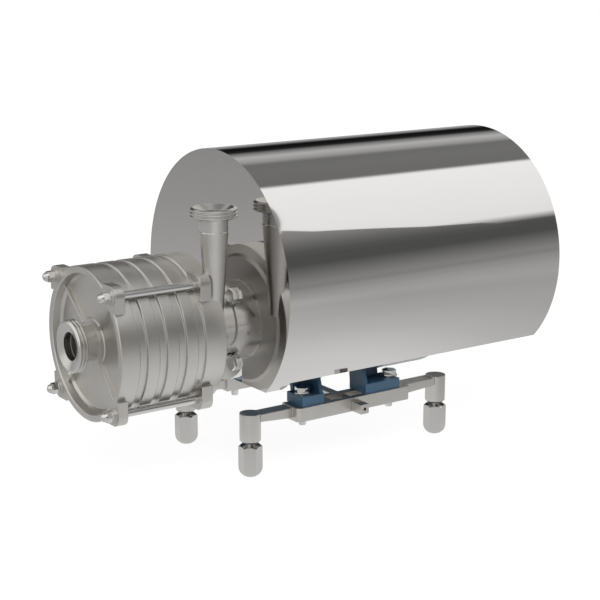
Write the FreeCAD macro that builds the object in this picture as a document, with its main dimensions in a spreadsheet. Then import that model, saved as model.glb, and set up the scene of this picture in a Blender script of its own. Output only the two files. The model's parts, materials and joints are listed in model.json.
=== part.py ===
"""Four-stage sanitary centrifugal pump, close coupled to a foot-mounted motor.

The shaft runs along X, from the inlet at the left end to the fan at the right end. Z is up.
The origin lies under the middle of the pump, on the floor. Lengths are in millimetres.
Inside this file X is counted from the front face of the shroud's front plate, and Z from the
shaft axis; place() moves each piece to the origin of the whole pump.
"""
import FreeCAD, Part
import math
import os

import Sketcher

doc = FreeCAD.newDocument("sanitary_pump")
sheet = doc.addObject("Spreadsheet::Sheet", "Sizes")
pieces = []


class Size:
    """A length with the sheet expression that gives it, so that sums of sizes stay bound."""

    count = 0

    def __init__(self, number, text):
        self.number = number
        self.text = text

    def __add__(self, other):
        other = as_size(other)
        return Size(self.number + other.number, f"({self.text} + {other.text})")

    def __radd__(self, other):
        return as_size(other) + self

    def __sub__(self, other):
        other = as_size(other)
        return Size(self.number - other.number, f"({self.text} - {other.text})")

    def __rsub__(self, other):
        return as_size(other) - self

    def __mul__(self, other):
        other = as_size(other)
        return Size(self.number * other.number, f"({self.text} * {other.text})")

    def __rmul__(self, other):
        return as_size(other) * self

    def __truediv__(self, other):
        other = as_size(other)
        return Size(self.number / other.number, f"({self.text} / {other.text})")

    def __neg__(self):
        return Size(-self.number, f"(0 - {self.text})")


def as_size(value):
    if isinstance(value, Size):
        return value
    return Size(float(value), str(value))


def root(value):
    return Size(math.sqrt(value.number), f"sqrt({value.text})")


def turned(radius, degrees):
    """The two coordinates of a point at a radius and an angle."""
    radius = as_size(radius)
    across = Size(radius.number * math.cos(math.radians(degrees)), f"({radius.text} * cos({degrees}))")
    up = Size(radius.number * math.sin(math.radians(degrees)), f"({radius.text} * sin({degrees}))")
    return across, up


def size(name, number):
    """Keep one driving dimension in the next row of the sheet."""
    Size.count += 1
    sheet.set(f"A{Size.count}", name)
    sheet.set(f"B{Size.count}", str(number))
    sheet.setAlias(f"B{Size.count}", name)
    return Size(float(number), f"Sizes.{name}")


# Overall
shaft_height = size("shaft_height", 182.8)
shroud_length = size("shroud_length", 439)
slip_fit = size("slip_fit", 0.05)
running_gap = size("running_gap", 0.3)
bearing_fit = size("bearing_fit", 0.03)

# Pump casing
casing_gap = size("casing_gap", 38)
outlet_casing_length = size("outlet_casing_length", 45.1)
stage_pitch = size("stage_pitch", 26.5)
inlet_casing_length = size("inlet_casing_length", 24.4)
casing_radius = size("casing_radius", 95.2)
band_radius = size("band_radius", 92.6)
band_width = size("band_width", 10)
ridge_width = size("ridge_width", 1.4)
joint_groove = size("joint_groove", 1.6)
joint_groove_radius = size("joint_groove_radius", 90.2)
chamber_radius = size("chamber_radius", 84)
spigot_radius = size("spigot_radius", 87)
spigot_length = size("spigot_length", 3)
front_wall = size("front_wall", 2.5)
diaphragm_start = size("diaphragm_start", 17)
diaphragm_wall = size("diaphragm_wall", 2.5)
diaphragm_radius = size("diaphragm_radius", 78)
vane_wall = size("vane_wall", 3)
ring_section = size("ring_section", 0.9)

# Inlet
dish_depth = size("dish_depth", 13)
dish_wall = size("dish_wall", 4.5)
dish_rim = size("dish_rim", 9)
dish_floor_radius = size("dish_floor_radius", 84)
hub_radius = size("hub_radius", 31)
hub_height = size("hub_height", 1.8)
neck_radius = size("neck_radius", 21.5)
neck_stands = size("neck_stands", 9)
inlet_bore = size("inlet_bore", 17.5)
rib_width = size("rib_width", 3.2)
rib_height = size("rib_height", 3.5)
inlet_union_length = size("inlet_union_length", 12.6)
inlet_union_radius = size("inlet_union_radius", 32.5)
thread_pitch = size("thread_pitch", 4.2)
thread_depth = size("thread_depth", 1.5)
union_cone_radius = size("union_cone_radius", 28.5)
union_cone_depth = size("union_cone_depth", 3.5)

# Ears and tie rods
rod_place = size("rod_place", 71.4)
ear_radius = size("ear_radius", 13)
ear_flank = size("ear_flank", 53)
ear_root = size("ear_root", 5)
front_ear_length = size("front_ear_length", 12.5)
rear_ear_length = size("rear_ear_length", 15)
rear_ear_start = size("rear_ear_start", 10)
rod_end = size("rod_end", 64)
ear_boss_radius = size("ear_boss_radius", 9.5)
ear_boss_height = size("ear_boss_height", 2)
rod_radius = size("rod_radius", 4.75)
rod_hole_gap = size("rod_hole_gap", 0.25)
washer_thickness = size("washer_thickness", 1.6)
rod_washer_radius = size("rod_washer_radius", 8)
cap_nut_flats = size("cap_nut_flats", 13)
cap_nut_height = size("cap_nut_height", 7)
cap_dome_radius = size("cap_dome_radius", 6.2)

# Outlet
outlet_x = size("outlet_x", 45.3)
outlet_y = size("outlet_y", 71.1)
outlet_foot = size("outlet_foot", 18)
outlet_seam = size("outlet_seam", 133)
outlet_neck_radius = size("outlet_neck_radius", 10.5)
outlet_tube_radius = size("outlet_tube_radius", 17.5)
outlet_wall = size("outlet_wall", 1.5)
outlet_bore = size("outlet_bore", 8)
outlet_shoulder = size("outlet_shoulder", 36)
outlet_union_bottom = size("outlet_union_bottom", 149)
outlet_union_length = size("outlet_union_length", 14.2)
outlet_union_radius = size("outlet_union_radius", 28.7)
outlet_cone_radius = size("outlet_cone_radius", 24.5)
outlet_cone_depth = size("outlet_cone_depth", 6)
back_wall = size("back_wall", 5)
back_radius = size("back_radius", 80)
back_step = size("back_step", 5.5)

# Impellers and pump shaft
impeller_radius = size("impeller_radius", 72)
eye_radius = size("eye_radius", 28)
eye_wall = size("eye_wall", 3)
eye_start = size("eye_start", 0.5)
impeller_start = size("impeller_start", 4)
impeller_plate = size("impeller_plate", 2)
impeller_passage = size("impeller_passage", 6)
impeller_hub_radius = size("impeller_hub_radius", 14.5)
blade_wall = size("blade_wall", 2)
blade_curve = size("blade_curve", 46)
blade_centre = size("blade_centre", 44)
nose_radius = size("nose_radius", 9)
nut_length = size("nut_length", 14)
nut_flats = size("nut_flats", 24)
seal_shaft_radius = size("seal_shaft_radius", 12)
seal_ring_length = size("seal_ring_length", 5)
seal_ring_radius = size("seal_ring_radius", 18)
seal_seat_radius = size("seal_seat_radius", 20)
seal_seat_length = size("seal_seat_length", 6)
seal_housing_radius = size("seal_housing_radius", 37)
seal_housing_depth = size("seal_housing_depth", 5)
seal_flange_radius = size("seal_flange_radius", 40)
seal_flange = size("seal_flange", 4)
socket_radius = size("socket_radius", 19)
socket_front = size("socket_front", 34)
socket_back = size("socket_back", 6)
clamp_ring_radius = size("clamp_ring_radius", 32)
clamp_ring_length = size("clamp_ring_length", 16)
clamp_ring_back = size("clamp_ring_back", 10)

# Adapter between pump and motor
adapter_ring_radius = size("adapter_ring_radius", 52)
adapter_ring_length = size("adapter_ring_length", 3)
drum_radius = size("drum_radius", 50.5)
drum_inner_radius = size("drum_inner_radius", 41)
adapter_flange_radius = size("adapter_flange_radius", 74)
adapter_flange = size("adapter_flange", 12)
drain_radius = size("drain_radius", 3)
drain_back = size("drain_back", 16.5)
drain_depth = size("drain_depth", 5)
adapter_screw_circle = size("adapter_screw_circle", 61)
bolt_radius = size("bolt_radius", 5)
bolt_flats = size("bolt_flats", 17)
bolt_head = size("bolt_head", 6.4)
bolt_washer_radius = size("bolt_washer_radius", 10)
bolt_hole_gap = size("bolt_hole_gap", 0.5)

# Motor
motor_shaft_radius = size("motor_shaft_radius", 14)
motor_shaft_stands = size("motor_shaft_stands", 28)
bearing_seat_radius = size("bearing_seat_radius", 15)
bearing_radius = size("bearing_radius", 31)
bearing_width = size("bearing_width", 16)
shield_wall = size("shield_wall", 8)
shield_radius = size("shield_radius", 74)
frame_bore = size("frame_bore", 76)
frame_radius = size("frame_radius", 83)
fin_height = size("fin_height", 7.5)
fin_radius = frame_radius + fin_height
fin_wall = size("fin_wall", 2.4)
frame_front = size("frame_front", 32)
frame_length = size("frame_length", 198)
frame_back = frame_front + frame_length
fin_inset = size("fin_inset", 6)
fin_back_inset = size("fin_back_inset", 8)
seat_wall = size("seat_wall", 2)
seat_hub_wall = size("seat_hub_wall", 7)
rear_seat_inset = size("rear_seat_inset", 4)
shield_gap = size("shield_gap", 3)
shield_spigot = size("shield_spigot", 6)
core_start = size("core_start", 62)
core_length = size("core_length", 125)
core_bore = size("core_bore", 50)
air_gap = size("air_gap", 0.5)
end_ring_length = size("end_ring_length", 6)
end_ring_drop = size("end_ring_drop", 3)
end_ring_inset = size("end_ring_inset", 12)
core_shaft_radius = size("core_shaft_radius", 17)
winding_length = size("winding_length", 16)
winding_radius = size("winding_radius", 71)
winding_inset = size("winding_inset", 4)
winding_bevel = size("winding_bevel", 3)
fan_shaft_radius = size("fan_shaft_radius", 12)
fan_gap = size("fan_gap", 26)
fan_start = frame_back + fan_gap
fan_width = size("fan_width", 32)
fan_radius = size("fan_radius", 78)
fan_hub_radius = size("fan_hub_radius", 22)
fan_plate = size("fan_plate", 3)
cowl_length = size("cowl_length", 92)
cowl_radius = size("cowl_radius", 97)
cowl_wall = size("cowl_wall", 1.5)
cowl_bend = size("cowl_bend", 14)
slot_width = size("slot_width", 5)
slot_inner = size("slot_inner", 24)
slot_outer = size("slot_outer", 72)
box_start = size("box_start", 42)
box_length = size("box_length", 104)
box_width = size("box_width", 96)
box_stands = size("box_stands", 8.5)
box_bottom = frame_radius + box_stands
box_base_inset = size("box_base_inset", 14)
box_base_sunk = size("box_base_sunk", 1)
box_height = size("box_height", 44)
box_wall = size("box_wall", 4)
lid_height = size("lid_height", 12)
gland_radius = size("gland_radius", 11)
gland_length = size("gland_length", 20)

# Motor feet
motor_height = size("motor_height", 100)
pad_inner = size("pad_inner", 63)
pad_outer = size("pad_outer", 98)
pad_height = size("pad_height", 13)
front_pad_start = size("front_pad_start", 66)
front_pad_length = size("front_pad_length", 33.4)
rear_pad_start = size("rear_pad_start", 166)
rear_pad_length = size("rear_pad_length", 55.8)
front_leg_inset = size("front_leg_inset", 5.5)
rear_leg_length = size("rear_leg_length", 42)
web_wall = size("web_wall", 5)
web_top = size("web_top", 50)
web_top_outer = size("web_top_outer", 84)
leg_wall = size("leg_wall", 6)
leg_lean = size("leg_lean", 5)
front_bolt_x = size("front_bolt_x", 78)
bolt_spacing = size("bolt_spacing", 140)
bolt_y = size("bolt_y", 80)
foot_bolt_length = size("foot_bolt_length", 44)

# Leg frame
rail_inner = size("rail_inner", 65.5)
rail_outer = size("rail_outer", 101)
rail_start = size("rail_start", 57)
rail_length = size("rail_length", 181)
rail_height = size("rail_height", 18)
rail_corner = size("rail_corner", 4)
rail_window_x = size("rail_window_x", 116)
rail_window_length = size("rail_window_length", 62)
rail_wall = size("rail_wall", 8.5)
arm_width = size("arm_width", 20)
arm_drop = size("arm_drop", 1.5)
arm_post_height = size("arm_post_height", 10.5)
arm_rail_height = size("arm_rail_height", 14.5)
post_x = size("post_x", -0.4)
post_spacing = size("post_spacing", 300.5)
post_y = size("post_y", 78.4)
post_radius = size("post_radius", 13.5)
post_height = size("post_height", 38)
post_chamfer = size("post_chamfer", 3)
bar_x = size("bar_x", 146.8)
bar_side = size("bar_side", 12.5)
bar_drop = size("bar_drop", 4.4)
bar_half_length = size("bar_half_length", 121.5)
bar_hole_radius = size("bar_hole_radius", 2.1)
bar_hole_depth = size("bar_hole_depth", 12)
stud_radius = size("stud_radius", 6)
stud_length = size("stud_length", 34)
stud_gap = size("stud_gap", 4)
foot_flats = size("foot_flats", 26.5)
foot_chamfer = size("foot_chamfer", 2.5)
foot_dome = size("foot_dome", 13)
foot_tip_radius = size("foot_tip_radius", 3)

# Shroud
shroud_radius = size("shroud_radius", 165.7)
shroud_rise = size("shroud_rise", 55.7)
shroud_sheet = size("shroud_sheet", 1.5)
shroud_cut = size("shroud_cut", 56)
apron_drop = size("apron_drop", 9.5)
apron_length = size("apron_length", 30)
plate_opening = size("plate_opening", 54.5)
plate_slot = size("plate_slot", 55)
plate_slot_wide = size("plate_slot_wide", 59.8)
plate_shoulder = size("plate_shoulder", 34)
screw_window = size("screw_window", 11)
hem_height = size("hem_height", 3)
stay_back = size("stay_back", 25)
stay_x = frame_back - stay_back
stay_width = size("stay_width", 26)
stay_foot = size("stay_foot", 3)

# Places along the shaft that several pieces share
joint_4 = -(casing_gap + outlet_casing_length)
joint_3 = joint_4 - stage_pitch
joint_2 = joint_3 - stage_pitch
joint_1 = joint_2 - stage_pitch
rim_x = joint_1 - inlet_casing_length
inlet_face = rim_x - neck_stands - inlet_union_length
middle_x = (shroud_length + inlet_face) / 2
hub_stack_start = impeller_start + impeller_plate
adapter_face = shroud_sheet
shield_face = adapter_face + adapter_flange
ear_side = rod_place + ear_radius
rail_top = -motor_height


def bind(thing, prop, value):
    """Give a property its value and tie it to the sheet."""
    thing.setExpression(prop, as_size(value).text)


def place(thing, x=0, y=0, z=0, turn=None):
    """Put a piece where it belongs in the whole pump, turned when a rotation is given."""
    if turn:
        thing.Placement = FreeCAD.Placement(FreeCAD.Vector(), turn)
    bind(thing, "Placement.Base.x", as_size(x) - middle_x)
    bind(thing, "Placement.Base.y", as_size(y))
    bind(thing, "Placement.Base.z", as_size(z) + shaft_height)


def new_body(name):
    return doc.addObject("PartDesign::Body", name)


def keep(label, thing, x=0, y=0, z=0, turn=None):
    """Name a finished piece, place it and list it for the export."""
    thing.Label = label
    place(thing, x, y, z, turn)
    pieces.append(thing)
    return thing


def keep_group(label, master, places, turn=None):
    """Identical separate pieces that share one node: the master and its links."""
    master.Label = f"{label}_master"
    members = [master]
    place(master, *places[0], turn)
    for number, spot in enumerate(places[1:], 2):
        link = doc.addObject("App::Link", f"{label}_{number}")
        link.LinkedObject = master
        place(link, *spot, turn)
        members.append(link)
    group = doc.addObject("Part::Compound", f"{label}_group")
    group.Links = members
    group.Label = label
    pieces.append(group)
    return group


def origin_part(body, role):
    return [part for part in body.Origin.OriginFeatures if part.Role == role][0]


def new_sketch(body, plane, offset=0, turn=0, along=0):
    """A sketch on a plane of the body, moved along its normal and its own x axis, and turned
    about that axis."""
    sketch = body.newObject("Sketcher::SketchObject", f"{body.Name}_sketch")
    sketch.AttachmentSupport = [(origin_part(body, plane), "")]
    sketch.MapMode = "FlatFace"
    tilt = FreeCAD.Rotation(FreeCAD.Vector(1, 0, 0), turn)
    start = FreeCAD.Vector(as_size(along).number, 0, as_size(offset).number)
    sketch.AttachmentOffset = FreeCAD.Placement(start, tilt)
    bind(sketch, "AttachmentOffset.Base.x", along)
    bind(sketch, "AttachmentOffset.Base.z", offset)
    return sketch


def pin_point(sketch, edge, end, x, y):
    """Hold one end of an edge at a bound distance from the sketch origin."""
    for kind, value in (("DistanceX", as_size(x)), ("DistanceY", as_size(y))):
        index = sketch.addConstraint(Sketcher.Constraint(kind, -1, 1, edge, end, value.number))
        sketch.setExpression(f"Constraints[{index}]", value.text)


def polygon(sketch, corners):
    """A closed outline of straight edges with bound corners."""
    corners = [(as_size(x), as_size(y)) for x, y in corners]
    points = [FreeCAD.Vector(x.number, y.number, 0) for x, y in corners]
    first = sketch.GeometryCount
    count = len(points)
    for index in range(count):
        sketch.addGeometry(Part.LineSegment(points[index], points[(index + 1) % count]))
    for index in range(count):
        following = first + (index + 1) % count
        sketch.addConstraint(Sketcher.Constraint("Coincident", first + index, 2, following, 1))
    for index, (x, y) in enumerate(corners):
        pin_point(sketch, first + index, 1, x, y)
    return sketch


def ring(sketch, x, y, radius):
    """A circle with a bound centre and radius."""
    x, y, radius = as_size(x), as_size(y), as_size(radius)
    circle = Part.Circle(FreeCAD.Vector(x.number, y.number, 0), FreeCAD.Vector(0, 0, 1), radius.number)
    edge = sketch.addGeometry(circle)
    pin_point(sketch, edge, 3, x, y)
    index = sketch.addConstraint(Sketcher.Constraint("Radius", edge, radius.number))
    sketch.setExpression(f"Constraints[{index}]", radius.text)
    return sketch


def hexagon(sketch, flats, turn=0):
    """A hexagon about the sketch origin, its first corner turned from the first axis."""
    corners = [turned(flats / math.sqrt(3), turn + 60 * step) for step in range(6)]
    return polygon(sketch, corners)


def curved_blade(sketch, inner, outer):
    """One blade between two radii: two arcs about a bound centre, closed by short lines."""
    inner, outer = as_size(inner), as_size(outer)
    limits = []
    for radius in (inner, outer):
        ring(sketch, 0, 0, radius)
        limits.append(sketch.GeometryCount - 1)
        sketch.setConstruction(limits[-1], True)
    centre = FreeCAD.Vector(blade_centre.number, 0, 0)
    arcs = []
    ends = []
    for curve in (blade_curve - blade_wall / 2, blade_curve + blade_wall / 2):
        angles = []
        for reach in (outer.number, inner.number):
            along = (reach ** 2 + centre.x ** 2 - curve.number ** 2) / (2 * centre.x)
            aside = math.sqrt(reach ** 2 - along ** 2)
            angles.append(math.atan2(aside, along - centre.x))
            ends.append(FreeCAD.Vector(along, aside, 0))
        circle = Part.Circle(centre, FreeCAD.Vector(0, 0, 1), curve.number)
        arc = sketch.addGeometry(Part.ArcOfCircle(circle, *angles))
        arcs.append(arc)
        index = sketch.addConstraint(Sketcher.Constraint("Radius", arc, curve.number))
        sketch.setExpression(f"Constraints[{index}]", curve.text)
        for end, limit in ((1, limits[1]), (2, limits[0])):
            sketch.addConstraint(Sketcher.Constraint("PointOnObject", arc, end, limit))
    pin_point(sketch, arcs[0], 3, blade_centre, 0)
    sketch.addConstraint(Sketcher.Constraint("Coincident", arcs[0], 3, arcs[1], 3))
    for end in (1, 2):
        line = sketch.addGeometry(Part.LineSegment(ends[end - 1], ends[end + 1]))
        sketch.addConstraint(Sketcher.Constraint("Coincident", line, 1, arcs[0], end))
        sketch.addConstraint(Sketcher.Constraint("Coincident", line, 2, arcs[1], end))
    return sketch


def finish(body, feature):
    body.Tip = feature
    return feature


def revolve(body, sketch, axis="H_Axis"):
    feature = body.newObject("PartDesign::Revolution", f"{body.Name}_turned")
    feature.Profile = sketch
    feature.ReferenceAxis = (sketch, [axis])
    feature.Angle = 360
    return finish(body, feature)


def turn_out(body, sketch, axis="H_Axis"):
    """A full groove about one axis of its sketch."""
    feature = body.newObject("PartDesign::Groove", f"{body.Name}_groove")
    feature.Profile = sketch
    feature.ReferenceAxis = (sketch, [axis])
    feature.Angle = 360
    return finish(body, feature)


def pad(body, sketch, length, both_ways=False):
    feature = body.newObject("PartDesign::Pad", f"{body.Name}_pad")
    feature.Profile = sketch
    feature.SideType = "Symmetric" if both_ways else "One side"
    bind(feature, "Length", length)
    return finish(body, feature)


def pocket(body, sketch, length, forward=True):
    """A cut from the sketch plane, along its normal when forward."""
    feature = body.newObject("PartDesign::Pocket", f"{body.Name}_pocket")
    feature.Profile = sketch
    feature.Reversed = forward
    bind(feature, "Length", length)
    return finish(body, feature)


def spread(body, features, axis, count):
    """Copies of features around one axis of the body."""
    pattern = body.newObject("PartDesign::PolarPattern", f"{body.Name}_pattern")
    pattern.Originals = features
    pattern.Axis = (origin_part(body, axis), [""])
    pattern.Angle = 360
    pattern.Occurrences = count
    return finish(body, pattern)


def lathe(name, corners, axis="H_Axis"):
    """A body turned from one outline: (along X, radius) pairs, or (radius, Z) pairs about Z."""
    body = new_body(name)
    revolve(body, polygon(new_sketch(body, "XZ_Plane"), corners), axis)
    return body


def turned_about_z(name, corners):
    return lathe(name, corners, "V_Axis")


def add_ears(body, start, length, hole_length, boss=False):
    """Four lugs that carry the tie rods, with their holes, around the X axis."""
    deep = casing_radius - ear_root
    aside = root(deep * deep - ear_flank * ear_flank)
    middle = deep / math.sqrt(2)
    web = new_sketch(body, "YZ_Plane", start)
    polygon(web, [(middle, middle), (aside, ear_flank), (ear_side, ear_flank),
                  (ear_side, rod_place), (rod_place, ear_side), (ear_flank, ear_side),
                  (ear_flank, aside)])
    lug = pad(body, web, length)
    tip = pad(body, ring(new_sketch(body, "YZ_Plane", start), rod_place, rod_place, ear_radius), length)
    features = [lug, tip]
    hole_start = start
    if boss:
        boss_sketch = new_sketch(body, "YZ_Plane", start - ear_boss_height)
        ring(boss_sketch, rod_place, rod_place, ear_boss_radius)
        features.append(pad(body, boss_sketch, ear_boss_height + 1))
        hole_start = start - ear_boss_height
        hole_length = hole_length + ear_boss_height
    hole = new_sketch(body, "YZ_Plane", hole_start)
    ring(hole, rod_place, rod_place, rod_radius + rod_hole_gap)
    features.append(pocket(body, hole, hole_length))
    spread(body, features, "X_Axis", 4)


def casing_outer(length):
    """The outside of a stage from its front joint: groove, low band, ridge and high band."""
    return [(0, joint_groove_radius), (joint_groove, joint_groove_radius), (joint_groove, band_radius),
            (band_width, band_radius), (band_width + ridge_width, casing_radius), (length, casing_radius)]


def ring_seat():
    """The spigot and the seal ring groove at the front of a stage."""
    groove_top = spigot_radius + 2.5 * ring_section
    return [(-spigot_length, spigot_radius), (2 * ring_section, spigot_radius),
            (2 * ring_section, groove_top), (0, groove_top)]


def register(length):
    """The bore at the rear of a stage that takes the next spigot."""
    bore = spigot_radius + slip_fit
    depth = length - spigot_length - slip_fit
    return [(length, bore), (depth, bore), (depth, chamber_radius)]


def inlet_casing():
    """The front cover: a dished wall in a thick rim, with four ribs and the inlet neck."""
    body = new_body("InletCasing")
    length = inlet_casing_length
    floor_in = dish_depth + dish_wall
    sketch = new_sketch(body, "XZ_Plane")
    polygon(sketch, [
        (-neck_stands, inlet_bore), (-neck_stands, neck_radius), (0, neck_radius),
        (0, casing_radius - 1), (1, casing_radius), (length, casing_radius), *register(length),
        (floor_in, chamber_radius), (floor_in, eye_radius),
        (dish_depth, inlet_bore)])
    revolve(body, sketch)
    add_ears(body, as_size(0), front_ear_length, front_ear_length, True)
    rim_inner = casing_radius - dish_rim
    hub_top = dish_depth - hub_height
    dish = new_sketch(body, "XZ_Plane")
    polygon(dish, [
        (-1, neck_radius), (hub_top, neck_radius), (hub_top, hub_radius - 1),
        (hub_top + 1, hub_radius), (dish_depth, hub_radius), (dish_depth, dish_floor_radius - 3),
        (dish_depth - 3, dish_floor_radius), (1, rim_inner), (0, rim_inner + 1), (-1, rim_inner + 1)])
    turn_out(body, dish)
    rib = new_sketch(body, "XZ_Plane", 0, 45)
    polygon(rib, [(dish_depth + 1, hub_radius - 2), (dish_depth - rib_height, hub_radius - 2),
                  (dish_depth - 2 * rib_height, rim_inner + 1), (dish_depth + 1, rim_inner + 1)])
    spread(body, [pad(body, rib, rib_width, True)], "X_Axis", 4)
    keep("inlet_casing", body, rim_x)


def union_thread(length, radius, crests):
    """The crests of a round sanitary thread, from the free end inwards."""
    corners = []
    root_radius = radius - thread_depth
    for crest in range(crests):
        start = 0.8 + crest * thread_pitch
        corners += [(start, root_radius), (start + thread_pitch * 0.25, radius),
                    (start + thread_pitch * 0.55, radius), (start + thread_pitch * 0.8, root_radius)]
    return corners + [(length, root_radius)]


def inlet_union():
    thread = union_thread(inlet_union_length, inlet_union_radius, 3)
    lip = union_cone_radius + 0.8
    body = lathe("InletUnion", [(0, union_cone_radius), (0, lip), *thread,
                                (inlet_union_length, inlet_bore), (union_cone_depth, inlet_bore)])
    keep("inlet_union", body, inlet_face)


def stage_casing(number, joint):
    """A ring with its front wall, the diffuser vanes, the return vanes and the diaphragm."""
    body = new_body(f"StageCasing{number}")
    eye_bore = eye_radius + running_gap
    sketch = new_sketch(body, "XZ_Plane")
    polygon(sketch, [*ring_seat(), *casing_outer(stage_pitch), *register(stage_pitch),
                     (front_wall, chamber_radius), (front_wall, eye_bore), (0, eye_bore),
                     (0, chamber_radius), (-spigot_length, chamber_radius)])
    revolve(body, sketch)
    half = vane_wall / 2
    reach = chamber_radius + 0.5
    diffuser = new_sketch(body, "YZ_Plane", front_wall - 0.5)
    inner = impeller_radius + 2
    polygon(diffuser, [(inner, -half), (reach, -half), (reach, half), (inner, half)])
    diffuser_pad = pad(body, diffuser, diaphragm_start - front_wall + 1)
    back = new_sketch(body, "YZ_Plane", diaphragm_start)
    start = eye_radius + 8
    polygon(back, [(start, half), (start + half, -half), (reach, -half), (reach, half)])
    back_pad = pad(body, back, stage_pitch - diaphragm_start - spigot_length - running_gap)
    spread(body, [diffuser_pad, back_pad], "X_Axis", 8)
    wall = new_sketch(body, "XZ_Plane")
    wall_end = diaphragm_start + diaphragm_wall
    hub_bore = impeller_hub_radius + running_gap
    polygon(wall, [(diaphragm_start, hub_bore), (diaphragm_start, diaphragm_radius),
                   (wall_end, diaphragm_radius), (wall_end, hub_bore)])
    revolve(body, wall)
    keep(f"stage_casing_{number}", body, joint)


def upright(body, x, y, corners):
    """A sketch of (radius, height) corners beside a vertical axis through x, y."""
    sketch = new_sketch(body, "XZ_Plane", -as_size(y), along=x)
    return polygon(sketch, corners)


def outlet_casing():
    """The last ring, with the collecting chamber, the rear ears and the tangential outlet neck."""
    body = new_body("OutletCasing")
    length = outlet_casing_length
    eye_bore = eye_radius + running_gap
    bore = seal_housing_radius + slip_fit
    wall_start = length - back_wall
    sketch = new_sketch(body, "XZ_Plane")
    polygon(sketch, [*ring_seat(), *casing_outer(length - back_step), (length - 3, back_radius + 4),
                     (length, back_radius), (length, bore), (wall_start, bore),
                     (wall_start, eye_bore), (0, eye_bore), (0, chamber_radius),
                     (-spigot_length, chamber_radius)])
    revolve(body, sketch)
    axis_x = casing_gap + length - outlet_x
    neck = upright(body, axis_x, -outlet_y, [
        (0, outlet_foot), (outlet_neck_radius, outlet_foot), (outlet_neck_radius, outlet_shoulder),
        (outlet_tube_radius, outlet_seam), (0, outlet_seam)])
    revolve(body, neck, "V_Axis")
    hole_length = -rod_end + slip_fit - joint_4 - rear_ear_start
    add_ears(body, rear_ear_start, rear_ear_length, hole_length)
    chamber = new_sketch(body, "XZ_Plane")
    polygon(chamber, [(front_wall, eye_bore - 1), (front_wall, chamber_radius),
                      (wall_start, chamber_radius), (wall_start, eye_bore - 1)])
    turn_out(body, chamber)
    wide_bore = outlet_tube_radius - outlet_wall
    bore_way = upright(body, axis_x, -outlet_y, [
        (0, outlet_foot + 3), (outlet_bore, outlet_foot + 3), (outlet_bore, outlet_shoulder),
        (wide_bore, outlet_seam), (wide_bore, outlet_seam + 1), (0, outlet_seam + 1)])
    turn_out(body, bore_way, "V_Axis")
    keep("outlet_casing", body, joint_4)


def outlet_pipe():
    inner = outlet_tube_radius - outlet_wall
    length = outlet_union_bottom - outlet_seam
    tube = turned_about_z("OutletTube", [(inner, 0), (outlet_tube_radius, 0),
                                         (outlet_tube_radius, length), (inner, length)])
    keep("outlet_tube", tube, -outlet_x, -outlet_y, outlet_seam)
    top = outlet_union_length
    thread = [(radius, top - along) for along, radius in
              union_thread(outlet_union_length - 2, outlet_union_radius, 3)]
    union = turned_about_z("OutletUnion", [
        (outlet_cone_radius, top), (outlet_cone_radius + 1, top), *thread,
        (outlet_tube_radius + 4, 0), (inner, 0), (inner, top - outlet_cone_depth)])
    keep("outlet_union", union, -outlet_x, -outlet_y, outlet_union_bottom)


def casing_seal_rings():
    body = new_body("CasingSealRing")
    section = ring(new_sketch(body, "XZ_Plane"), 0, spigot_radius + 1.25 * ring_section, ring_section)
    revolve(body, section)
    joints = [(joint + ring_section, 0, 0) for joint in (joint_1, joint_2, joint_3, joint_4)]
    keep_group("casing_seal_rings", body, joints)


def impeller(number, joint):
    """A closed impeller: hub and back plate, curved blades, then the front plate and its eye."""
    bore = nose_radius + slip_fit
    front = impeller_start + impeller_plate
    back = front + impeller_passage
    body = lathe(f"Impeller{number}", [
        (front, bore), (front, impeller_hub_radius), (back, impeller_hub_radius),
        (back, impeller_radius), (back + impeller_plate, impeller_radius),
        (back + impeller_plate, impeller_hub_radius), (front + stage_pitch, impeller_hub_radius),
        (front + stage_pitch, bore)])
    half_plate = impeller_plate / 2
    blade = curved_blade(new_sketch(body, "YZ_Plane", front - half_plate),
                         eye_radius - 2 * eye_wall, impeller_radius - half_plate)
    spread(body, [pad(body, blade, impeller_passage + impeller_plate)], "X_Axis", 6)
    cover = new_sketch(body, "XZ_Plane")
    polygon(cover, [(eye_start, eye_radius - eye_wall), (eye_start, eye_radius),
                    (impeller_start, eye_radius), (impeller_start, impeller_radius),
                    (front, impeller_radius), (front, eye_radius - eye_wall)])
    revolve(body, cover)
    keep(f"impeller_{number}", body, joint)


def pump_shaft():
    nose_start = joint_1 + hub_stack_start - nut_length + 2
    shoulder = joint_4 + hub_stack_start + stage_pitch
    socket_bore = motor_shaft_radius + slip_fit
    socket_floor = -motor_shaft_stands - 1
    body = lathe("PumpShaft", [
        (nose_start, 0), (nose_start, nose_radius), (shoulder, nose_radius),
        (shoulder, seal_shaft_radius), (-socket_front, seal_shaft_radius),
        (-socket_front, socket_radius), (-socket_back, socket_radius),
        (-socket_back, socket_bore), (socket_floor, socket_bore), (socket_floor, 0)])
    keep("pump_shaft", body)


def impeller_nut():
    body = new_body("ImpellerNut")
    hex_length = nut_length * 0.7
    pad(body, hexagon(new_sketch(body, "YZ_Plane", -hex_length), nut_flats), hex_length)
    nose = new_sketch(body, "XZ_Plane")
    polygon(nose, [(-nut_length, 0), (-nut_length, nut_flats * 0.42), (-hex_length, nut_flats / 2),
                   (-hex_length + 1, nut_flats / 2), (-hex_length + 1, 0)])
    revolve(body, nose)
    bore = ring(new_sketch(body, "YZ_Plane"), 0, 0, nose_radius + slip_fit)
    pocket(body, bore, nut_length - 1.5, forward=False)
    keep("impeller_nut", body, joint_1 + hub_stack_start)


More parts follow.
